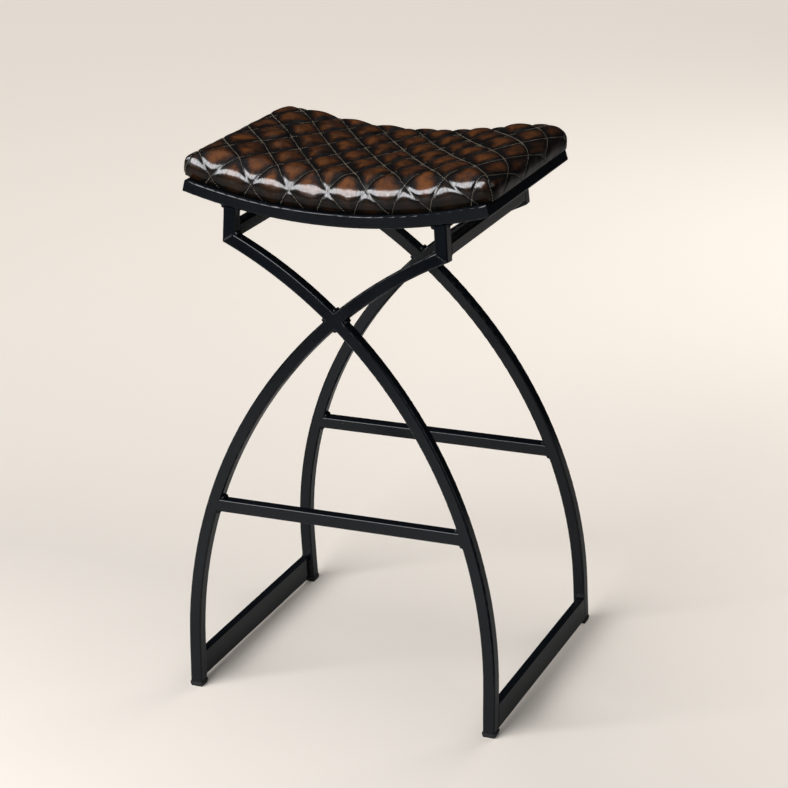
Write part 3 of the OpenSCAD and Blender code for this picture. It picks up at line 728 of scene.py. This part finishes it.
def skin_mesh():
    """The puffed skin before its foam swells, with its seams creased and marked."""
    rows = flat_skin()
    seams, skin = (rows.loops.layers.uv.new(name) for name in ("quilt", "skin"))
    crease = rows.edges.layers.float.new("crease_edge")
    held, room = (rows.verts.layers.float.new(name) for name in ("held", "room"))
    flat = np.array([v.co[:2] for v in rows.verts])
    p, q = to_seams(*flat.T)
    on_p, on_q = abs(p - np.round(p)) < 1e-4, abs(q - np.round(q)) < 1e-4
    for face in rows.faces:
        for loop in face.loops:
            i = loop.vert.index
            loop[seams].uv = (p[i], q[i])
            loop[skin].uv = flat[i]
    for edge in rows.edges:
        i, j = (v.index for v in edge.verts)
        for on, place in ((on_p, p), (on_q, q)):
            if on[i] and on[j] and round(place[i]) == round(place[j]):
                edge[crease] = SEAM_CREASE
    a, b = abs(flat.T)
    low = (a > RIM_A + SIDE - 1e-5) | (b > RIM_B + SIDE - 1e-5)
    corner = (abs(a - RIM_A) < 1e-5) & (b > RIM_B - 1e-5)
    corner |= (abs(b - RIM_B) < 1e-5) & (a > RIM_A - 1e-5)
    taut = tautness(*flat.T)
    puffed = seam_sink(*flat.T) * (1 - FIRST_PUFF * puff(p, q, taut))
    places, _ = skin_point(*flat.T, np.where(corner, 0.5 * SEAM_SINK, puffed))
    sewn = on_p | on_q | low | corner
    for v in rows.verts:
        v.co = places[v.index]
        v[held] = float(sewn[v.index])
        v[room] = SWELL_CAP * (1 - TAUT_SWELL_LOSS * taut[v.index])
    bmesh.ops.remove_doubles(rows, verts=rows.verts[:], dist=MERGE_DISTANCE)
    bmesh.ops.dissolve_degenerate(rows, edges=rows.edges[:], dist=MERGE_DISTANCE)
    bmesh.ops.delete(rows, geom=[v for v in rows.verts if not v.link_faces], context="VERTS")
    bmesh.ops.recalc_face_normals(rows, faces=rows.faces[:])
    if sum(f.normal.z * f.calc_area() for f in rows.faces) < 0:
        bmesh.ops.reverse_faces(rows, faces=rows.faces[:])
    mesh = bpy.data.meshes.new("cushion")
    rows.to_mesh(mesh)
    weights, rooms = [v[held] for v in rows.verts], [v[room] for v in rows.verts]
    rows.free()
    return mesh, weights, rooms


def swell(obj, weights, rooms):
    """Blows the skin up like cloth, by no more than the room of each point, and evens it out."""
    group = obj.vertex_groups.new(name="sewn")
    for i, weight in enumerate(weights):
        if weight:
            group.add([i], weight, "REPLACE")
    before = np.array([v.co[:] for v in obj.data.vertices])
    cloth = obj.modifiers.new("swell", "CLOTH")
    cloth.settings.quality = 5
    cloth.settings.vertex_group_mass = "sewn"
    cloth.settings.use_pressure = True
    cloth.settings.uniform_pressure_force = SWELL_PRESSURE
    cloth.settings.effector_weights.gravity = 0.0
    cloth.settings.tension_stiffness = 12.0
    cloth.settings.bending_stiffness = 0.4
    cloth.settings.shrink_min = -0.03
    cloth.point_cache.frame_start, cloth.point_cache.frame_end = 1, SWELL_FRAMES
    for step in range(1, SWELL_FRAMES + 1):
        scene.frame_set(step)
    seen = obj.evaluated_get(bpy.context.evaluated_depsgraph_get())
    after = np.array([v.co[:] for v in seen.data.vertices])
    obj.modifiers.remove(cloth)
    scene.frame_set(1)
    moved = after - before
    share = np.linalg.norm(moved, axis=1, keepdims=True) / np.array(rooms)[:, None]
    moved *= np.tanh(share) / np.maximum(share, 1e-9)
    ends = np.array([e.vertices[:] for e in obj.data.edges])
    count = np.bincount(ends.ravel(), minlength=len(before))[:, None]
    free = 1.0 - np.array(weights)[:, None]
    for _ in range(SMOOTHINGS):
        around = np.zeros_like(moved)
        np.add.at(around, ends[:, 0], moved[ends[:, 1]])
        np.add.at(around, ends[:, 1], moved[ends[:, 0]])
        moved += 0.5 * free * (around / count - moved)
    for v, place in zip(obj.data.vertices, before + moved):
        v.co = place


# The cushion's closed bottom ends in a row of points along the middle of the board's top
SPINE_REACH, SPINE_POINTS = 0.2, 41


def close_bottom(mesh):
    """Folds the skin under the board, up its edge and across its top, which closes the cushion."""
    body = bmesh.new()
    body.from_mesh(mesh)
    seams, skin = body.loops.layers.uv["quilt"], body.loops.layers.uv["skin"]
    step = next(e for e in body.edges if e.is_boundary)
    loop = [step.verts[0]]
    while step.other_vert(loop[-1]) is not loop[0]:
        loop.append(step.other_vert(loop[-1]))
        step = next(e for e in loop[-1].link_edges if e.is_boundary and e is not step)
    marks = [tuple(tuple(v.link_loops[0][layer].uv) for layer in (seams, skin)) for v in loop]
    co = np.array([v.co[:] for v in loop])
    angle = np.arctan2(co[:, 0], CURVE_AXIS_HEIGHT - co[:, 2])
    plan = np.stack([angle * DIP_RADIUS, co[:, 1]], -1)
    edge = np.array([HALF_WIDTH, HALF_DEPTH]) - SIDE_DRAW
    fold = edge - LEATHER_THICKNESS - FOLD_WIDTH
    folded = np.clip(plan, -fold, fold)
    beside = plan * (1 - LEATHER_THICKNESS / edge)
    under_board = LOW_HEIGHT + LEATHER_THICKNESS
    rings = [(folded, LOW_HEIGHT), (folded, under_board), (beside, under_board), (beside, BOARD_TOP)]
    last = loop
    for ring, height in rings:
        places = on_curve(ring[:, 0], ring[:, 1], height)
        made = [body.verts.new(place) for place in places]
        for i, v in enumerate(made):
            j = (i + 1) % len(made)
            face = body.faces.new((last[i], last[j], made[j], v))
            for corner, k in zip(face.loops, (i, j, j, i)):
                corner[seams].uv, corner[skin].uv = marks[k]
            face.smooth = False
        last = made
    spine = [
        body.verts.new(on_curve(np.array(x), np.array(0.0), BOARD_TOP))
        for x in np.linspace(-SPINE_REACH, SPINE_REACH, SPINE_POINTS)
    ]
    along = np.clip(beside[:, 0], -SPINE_REACH, SPINE_REACH) / SPINE_REACH
    nearest = np.rint((along + 1) / 2 * (SPINE_POINTS - 1)).astype(int)
    for i in range(len(last)):
        j = (i + 1) % len(last)
        ends = [spine[nearest[j]], spine[nearest[i]]]
        body.faces.new([last[i], last[j], *(ends if ends[0] is not ends[1] else ends[:1])])
    bmesh.ops.recalc_face_normals(body, faces=body.faces[:])
    body.to_mesh(mesh)
    body.free()


# The skin's finish: dye rubbed thin in the middle of each diamond; near-black along the seams, partly
# burnished dye and partly painted shade; painted shade on the low sides; a glossy coat, and puckers
# along the thread
SEAM_SPACING, DIAMOND_SIDE = 0.0488, 0.0538
STITCH_PITCH = 0.0032
RUBBED = (0.122, 0.041, 0.0105)
DYED = (0.042, 0.0155, 0.0068)
# Near-black for the seams and each diamond's left side: partly burnished dye, partly painted shade
BURNISH_AND_PAINTED_SHADE = (0.0034, 0.0028, 0.0027)
# Painted shade for the low sides under the rounding, also used to darken the far ends
PAINTED_LOW_SHADE_AND_DARK_ENDS = (0.0024, 0.0021, 0.0015)
DYE_CLOUD_SCALE = 42.0
STREAK_SCALES = (520, 90)
# Where each shade starts and ends: metres from a seam, a share of a diamond, and metres
# past the widest line, or from the seat's middle for the far ends
BURNISH_AND_SHADE_EDGE = (0.0025, 0.0155)
DYE_AND_SHADE_SIDE_EDGE = (0.16, 0.50)
PAINTED_LOW_SHADE_EDGE = (-0.018, 0.001)
MATT_EDGE = (-0.005, 0.007)
FAR_EDGE = (0.185, 0.245)
WORN_COAT_EDGE = (0.36, 0.58)
PUCKER_REACH = 0.006
PORE_SCALE, GRAIN_SCALE = 760.0, 260.0
GRAIN_DEPTH = 0.00022
LEATHER_ROUGHNESS = 0.20
LEATHER_SHEEN = 0.18
WAX_ROUGHNESS, WAX_IOR = 0.14, 1.55


def leather_finish(graph):
    place = object_place(graph)
    p, q, _ = graph.parts(graph.node("ShaderNodeUVMap", {"uv_map": "quilt"}))
    a, b, _ = graph.parts(graph.node("ShaderNodeUVMap", {"uv_map": "skin"}))
    near_p = graph.maths("PINGPONG", p, 0.5) * SEAM_SPACING
    near_q = graph.maths("PINGPONG", q, 0.5) * SEAM_SPACING
    nearest = graph.maths("MINIMUM", near_p, near_q)
    cloud = graph.noise(place, DYE_CLOUD_SCALE, 4.0, 0.62)
    along, across = STREAK_SCALES
    streaks = graph.noise(graph.vector(a * along, b * across, 0.0), 1.0, 4.0, 0.7)

    # Rubbed centres, which wander; the dark near the seams and on each diamond's left is partly dye,
    # partly painted shade
    wander = (cloud - 0.5) * 0.016 + (streaks - 0.5) * 0.004
    centre = graph.step(nearest + wander, *BURNISH_AND_SHADE_EDGE)
    rightward = (graph.maths("FRACT", p) + graph.maths("FRACT", q)) * 0.5
    centre = centre * (0.06 + 0.94 * graph.step(rightward + (cloud - 0.5) * 0.34, *DYE_AND_SHADE_SIDE_EDGE))
    rubbed = graph.step(cloud * 0.75 + streaks * 0.25, 0.36, 0.62)
    colour = graph.colours(centre, BURNISH_AND_PAINTED_SHADE, graph.colours(rubbed, DYED, RUBBED))

    # Painted shade on the low sides under the rounding, the far ends made darker, and the low sides
    # hardly waxed
    side = graph.maths("MAXIMUM", abs(a) - RIM_A, abs(b) - RIM_B)
    low = graph.step(side + (cloud - 0.5) * 0.02, *PAINTED_LOW_SHADE_EDGE) * 0.9
    far = graph.step(abs(a), *FAR_EDGE) * 0.55
    matt = graph.step(side, *MATT_EDGE)
    worn = graph.step(streaks, *WORN_COAT_EDGE)

    pores = graph.node(
        "ShaderNodeTexVoronoi", {"feature": "SMOOTH_F1"}, {"Vector": place, "Scale": PORE_SCALE},
    )
    grain = graph.noise(place, GRAIN_SCALE, 4.0, 0.6)
    turns = 2 * math.pi * DIAMOND_SIDE / STITCH_PITCH
    pucker = 0.0
    for near, seam in ((near_p, q), (near_q, p)):
        wave = graph.maths("SINE", seam * turns + cloud * 6)
        pucker = wave * (1 - graph.step(near, 0.0, PUCKER_REACH)) + pucker
    return {
        "Base Color": graph.colours(graph.maths("MAXIMUM", low, far), colour, PAINTED_LOW_SHADE_AND_DARK_ENDS),
        "Roughness": LEATHER_ROUGHNESS + 0.10 * streaks,
        "Specular IOR Level": LEATHER_SHEEN,
        "Coat Weight": (0.95 - 0.89 * matt) * (0.35 + 0.65 * worn),
        "Coat Roughness": WAX_ROUGHNESS,
        "Coat IOR": WAX_IOR,
        "Normal": bumped(graph, pores * 0.30 + grain * 0.9 + pucker * 0.55, GRAIN_DEPTH),
    }


leather = finish("brown_leather", leather_finish)
mesh, sewn, rooms = skin_mesh()
cushion = bpy.data.objects.new("cushion", mesh)
scene.collection.objects.link(cushion)
swell(cushion, sewn, rooms)
for face in cushion.data.polygons:
    face.use_smooth = True
rounding = cushion.modifiers.new("round", "SUBSURF")
rounding.levels = rounding.render_levels = 1
seen = cushion.evaluated_get(bpy.context.evaluated_depsgraph_get())
rounded = bpy.data.meshes.new_from_object(seen)
cushion.modifiers.remove(rounding)
cushion.vertex_groups.clear()
close_bottom(rounded)
cushion.data = rounded
cushion.data.name = "cushion"
cushion.data.materials.clear()
cushion.data.materials.append(leather)
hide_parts("leather_cover", "foam_pad")
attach(cushion, "root")

# Thread
# Both runs of seams are lockstitched in heavy cream thread, about eight stitches to the
# inch, which sink into the bottoms of the channels.
THREAD_RADIUS = 0.00024
THREAD_LIFT = 0.00060
THREAD_LENGTH_SHARE = 4.0
THREAD_JITTER = 0.06
THREAD_COLOUR = (0.50, 0.41, 0.29)
THREAD_SHADE = (0.22, 0.175, 0.12)
TWIST_SCALE, TWIST_DEPTH = 900.0, 0.00006
SOIL_SCALE = 60.0
SEAM_STEP = 1 / 45
SEAM_END = 0.0003
SHORTEST_SEAM = 5


def thread_finish(graph):
    place = object_place(graph)
    twist = graph.node(
        "ShaderNodeTexWave", {"wave_type": "BANDS", "bands_direction": "DIAGONAL"},
        {"Vector": place, "Scale": TWIST_SCALE, "Distortion": 1.5}, "Fac",
    )
    soil = graph.noise(place, SOIL_SCALE, 3.0)
    return {
        "Base Color": graph.colours(twist * 0.45 + soil * 0.35, THREAD_COLOUR, THREAD_SHADE),
        "Roughness": 0.55 + 0.2 * twist,
        "Normal": bumped(graph, twist, TWIST_DEPTH),
    }


def seam_lines():
    """The middle lines of both runs of seams, from one edge of the skin to the other."""
    ends = corner_seams()
    lines = []
    for run in (0, 1):
        whole = [e[run] for e in ends]
        other = [e[1 - run] for e in ends]
        for seam in range(math.ceil(min(whole)), math.floor(max(whole)) + 1):
            along = np.arange(min(other), max(other), SEAM_STEP)
            across = np.full_like(along, seam)
            a, b = to_skin(*((across, along) if run == 0 else (along, across)))
            shown = inside_skin(a, b, -SEAM_END)
            places, _ = skin_point(a, b, seam_sink(a, b) - THREAD_LIFT)
            line = []
            for place, show in zip(places, shown):
                if show:
                    line.append(place)
                elif line:
                    lines.append(line)
                    line = []
            if line:
                lines.append(line)
    return [line for line in lines if len(line) >= SHORTEST_SEAM]


thread = finish("cream_thread", thread_finish)
stitch_tree = drops_tree(
    "stitch", STITCH_PITCH, THREAD_RADIUS, THREAD_LENGTH_SHARE, thread,
    segments=6, rings=4, jitter=THREAD_JITTER,
)
stitches = grown(stitch_tree, lines_mesh("seam_lines", seam_lines()), "stitches")
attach(stitches, "root")

# Dust cover
# A sheet of black spunbond cloth closes the underside. Its corners are snipped, and it is
# stapled to the board over the leather's fold, so that it sags a little between the rails.
DUST_HALF = (0.2255, 0.138)
DUST_SNIP = 0.010
DUST_THICKNESS = 0.0006
DUST_GRID = (93, 57)
DUST_SAG = 0.0022
# The cloth is free to sag inside these lines, and hangs fully after this run
SAG_LINES, SAG_RUNS = (0.2015, 0.1320), (0.05, 0.04)
SCREW_PLACES = [(sx * 0.2135, sy * 0.090) for sx in (-1, 1) for sy in (-1, 1)]
SCREW_HOLE = 0.0023
HOLE_SIDES = 16
DUST_DARK, DUST_PALE = (0.010, 0.010, 0.011), (0.034, 0.034, 0.036)
DOT_SCALE = 2600
FIBRE_SCALES = (300, 1100)
FIBRE_DEPTH = 0.00015


def dust_mesh():
    """The stretched sheet: a snipped rectangle with four holes, bent to the rails' curve."""
    x, y, cut = *DUST_HALF, DUST_SNIP
    rim = [
        (-x + cut, -y), (x - cut, -y), (x, -y + cut), (x, y - cut),
        (x - cut, y), (-x + cut, y), (-x, y - cut), (-x, -y + cut),
    ]
    turns = [2 * math.pi * k / HOLE_SIDES for k in range(HOLE_SIDES)]
    holes = [
        [(cx + SCREW_HOLE * math.cos(t), cy + SCREW_HOLE * math.sin(t)) for t in turns]
        for cx, cy in SCREW_PLACES
    ]

    def to_screw(u, v):
        """How far a point of the flat sheet is from the nearest screw's middle."""
        return min(math.hypot(u - cx, v - cy) for cx, cy in SCREW_PLACES)

    # A grid of points that keeps off the sheet's rim and the holes
    inner = [
        (u, v) for u in np.linspace(-x, x, DUST_GRID[0]) for v in np.linspace(-y, y, DUST_GRID[1])
        if abs(u) < x - 0.001 and abs(v) < y - 0.001 and abs(u) + abs(v) < x + y - cut - 0.002
        and to_screw(u, v) > SCREW_HOLE + 0.0012
    ]
    points, loops = [*rim], [list(range(len(rim)))]
    for hole in holes:
        loops.append(list(range(len(points), len(points) + len(hole)))[::-1])
        points += hole
    edges = [(loop[k], loop[k - 1]) for loop in loops for k in range(len(loop))]
    points = [Vector(p) for p in [*points, *inner]]
    flat, _, faces, *_ = delaunay_2d_cdt(points, edges, [], 1, 1e-7)
    flat = np.array([tuple(p) for p in flat])
    faces = [face for face in faces if to_screw(*flat[list(face)].mean(0)) > SCREW_HOLE * 0.98]
    u, v = flat.T
    room = [
        np.sin(np.pi / 2 * np.clip((line - abs(way)) / run, 0, 1)) ** 2
        for way, line, run in zip((u, v), SAG_LINES, SAG_RUNS)
    ]
    ripple = 1 + 0.25 * np.sin(u * 61 + 2 * np.sin(v * 23)) * np.sin(v * 47 + 1)
    places = on_curve(u, v, DUST_THICKNESS / 2 - DUST_SAG * room[0] * room[1] * ripple)
    mesh = bpy.data.meshes.new("dust_sheet")
    mesh.from_pydata([tuple(p) for p in places], [], [tuple(int(k) for k in face) for face in faces])
    return mesh


def dust_finish(graph):
    x, y, z = graph.parts(object_place(graph))
    dots = graph.maths("SINE", (x + y) * DOT_SCALE) * graph.maths("SINE", (x - y) * DOT_SCALE)
    along, across = FIBRE_SCALES
    fibres = graph.noise(graph.vector(x * along, y * across, z * along), 1.0, 4.0, 0.7)
    height = graph.step(dots, 0.2, 0.7) * -0.6 + fibres
    return {
        "Base Color": graph.colours(fibres, DUST_DARK, DUST_PALE),
        "Roughness": 0.75 + 0.15 * fibres,
        "Normal": bumped(graph, height, FIBRE_DEPTH),
    }


dust = bpy.data.objects.new("dust_sheet", dust_mesh())
scene.collection.objects.link(dust)
for face in dust.data.polygons:
    face.use_smooth = True
dust.data.materials.append(finish("dust_cloth", dust_finish))
wall = dust.modifiers.new("thickness", "SOLIDIFY")
wall.thickness = DUST_THICKNESS
wall.offset = 0.0
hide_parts("dust_cover")
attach(dust, "root")

# Staples
# Bent steel wire holds the cloth every few centimetres, close to its edge. Each staple is
# shot through the cloth and the leather's fold into the board, a little askew.
STAPLE_CROWN = 0.011
STAPLE_WIRE = 0.0011
STAPLE_PITCH = 0.031
STAPLE_LEAN = 0.09
STAPLE_DEPTH = 0.0003
# Half length of a row and its distance from the cloth's edge, along the front and the sides
LONG_ROW, LONG_INSET = 0.190, 0.006
SIDE_ROW, SIDE_INSET = 0.118, 0.0045
WIRE_PALE, WIRE_DARK = (0.52, 0.53, 0.55), (0.30, 0.31, 0.33)
SMEAR_SCALE = 420.0
METAL_DEPTH = 0.00003


def staple_finish(graph):
    smear = graph.noise(object_place(graph), SMEAR_SCALE, 4.0, 0.6)
    return {
        "Base Color": graph.colours(smear, WIRE_PALE, WIRE_DARK),
        "Roughness": 0.30 + 0.25 * smear,
        "Metallic": 1.0,
        "Normal": bumped(graph, smear, METAL_DEPTH),
    }


def staple_tree(name, material):
    """One staple's crown and the bends of its legs at each point, turned along the row."""
    tree = geometry_tree(
        name, Crown=("Float", STAPLE_CROWN), Wire=("Float", STAPLE_WIRE), Pitch=("Float", STAPLE_PITCH),
        Lean=("Float", STAPLE_LEAN), Finish=("Material", material), Seed=("Int", 3),
    )
    graph = Graph(tree)
    given = graph.given()
    rows, aim = graph.stations(given, "X")
    lean = graph.vector(0.0, 0.0, graph.random(given, 0 - given["Lean"], given["Lean"]))
    inputs = {"Rotation": aim, "Rotate By": lean}
    aim = graph.node("FunctionNodeRotateRotation", {"rotation_space": "LOCAL"}, inputs)
    half = given["Crown"] * 0.5
    bend = half * 0.93
    foot = given["Wire"] * 0.8
    ends = [
        graph.vector(x, 0.0, z)
        for x, z in ((0 - half, foot), (0 - bend, 0.0), (bend, 0.0), (half, foot))
    ]
    lines = [
        graph.node("GeometryNodeCurvePrimitiveLine", {"mode": "POINTS"}, {"Start": start, "End": end})
        for start, end in zip(ends, ends[1:])
    ]
    inputs = {"Resolution": 8, "Radius": given["Wire"] * 0.5}
    section = graph.node("GeometryNodeCurvePrimitiveCircle", {"mode": "RADIUS"}, inputs)
    inputs = {"Curve": graph.join(lines), "Profile Curve": section, "Fill Caps": True}
    staple = graph.node("GeometryNodeCurveToMesh", None, inputs)
    inputs = {"Points": rows, "Instance": staple, "Rotation": aim}
    made = graph.node("GeometryNodeInstanceOnPoints", None, inputs)
    made = graph.node("GeometryNodeRealizeInstances", None, {"Geometry": made})
    made = graph.node("GeometryNodeSetMaterial", None, {"Geometry": made, "Material": given["Finish"]})
    graph.node("NodeGroupOutput", None, {"Geometry": made})
    return tree


def staple_rows():
    """The rows that the staples follow, clear of the rails that cover the cloth's edge."""
    rows = []
    across = np.linspace(-LONG_ROW, LONG_ROW, 60)
    deep = np.linspace(-SIDE_ROW, SIDE_ROW, 40)
    for sign in (-1, 1):
        beside = np.full_like(across, sign * (DUST_HALF[1] - LONG_INSET))
        rows.append(on_curve(across, beside, -STAPLE_DEPTH))
        beside = np.full_like(deep, sign * (DUST_HALF[0] - SIDE_INSET))
        rows.append(on_curve(beside, deep, -STAPLE_DEPTH))
    return rows


staple_maker = staple_tree("staple", finish("staple_wire", staple_finish))
staples = grown(staple_maker, lines_mesh("staple_rows", staple_rows()), "staples")
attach(staples, "root")

# Seat screws
# Four zinc-plated pan-head screws hold the board. They are driven up through the holes in
# the undersides of the side rails.
ZINC = (0.60, 0.61, 0.60)
ZINC_TINT = (0.50, 0.47, 0.36)
ZINC_CLOUD_SCALE, TURNED_SCALE = 300.0, 2400.0


def zinc_finish(graph):
    place = object_place(graph)
    cloud = graph.noise(place, ZINC_CLOUD_SCALE, 3.0, 0.55)
    turned = graph.noise(place, TURNED_SCALE, 2.0)
    return {
        "Base Color": graph.colours(graph.step(cloud, 0.35, 0.7), ZINC, ZINC_TINT),
        "Roughness": 0.28 + 0.2 * turned,
        "Metallic": 1.0,
        "Normal": bumped(graph, turned, METAL_DEPTH),
    }


dress(["seat_screws"], finish("zinc_screws", zinc_finish))
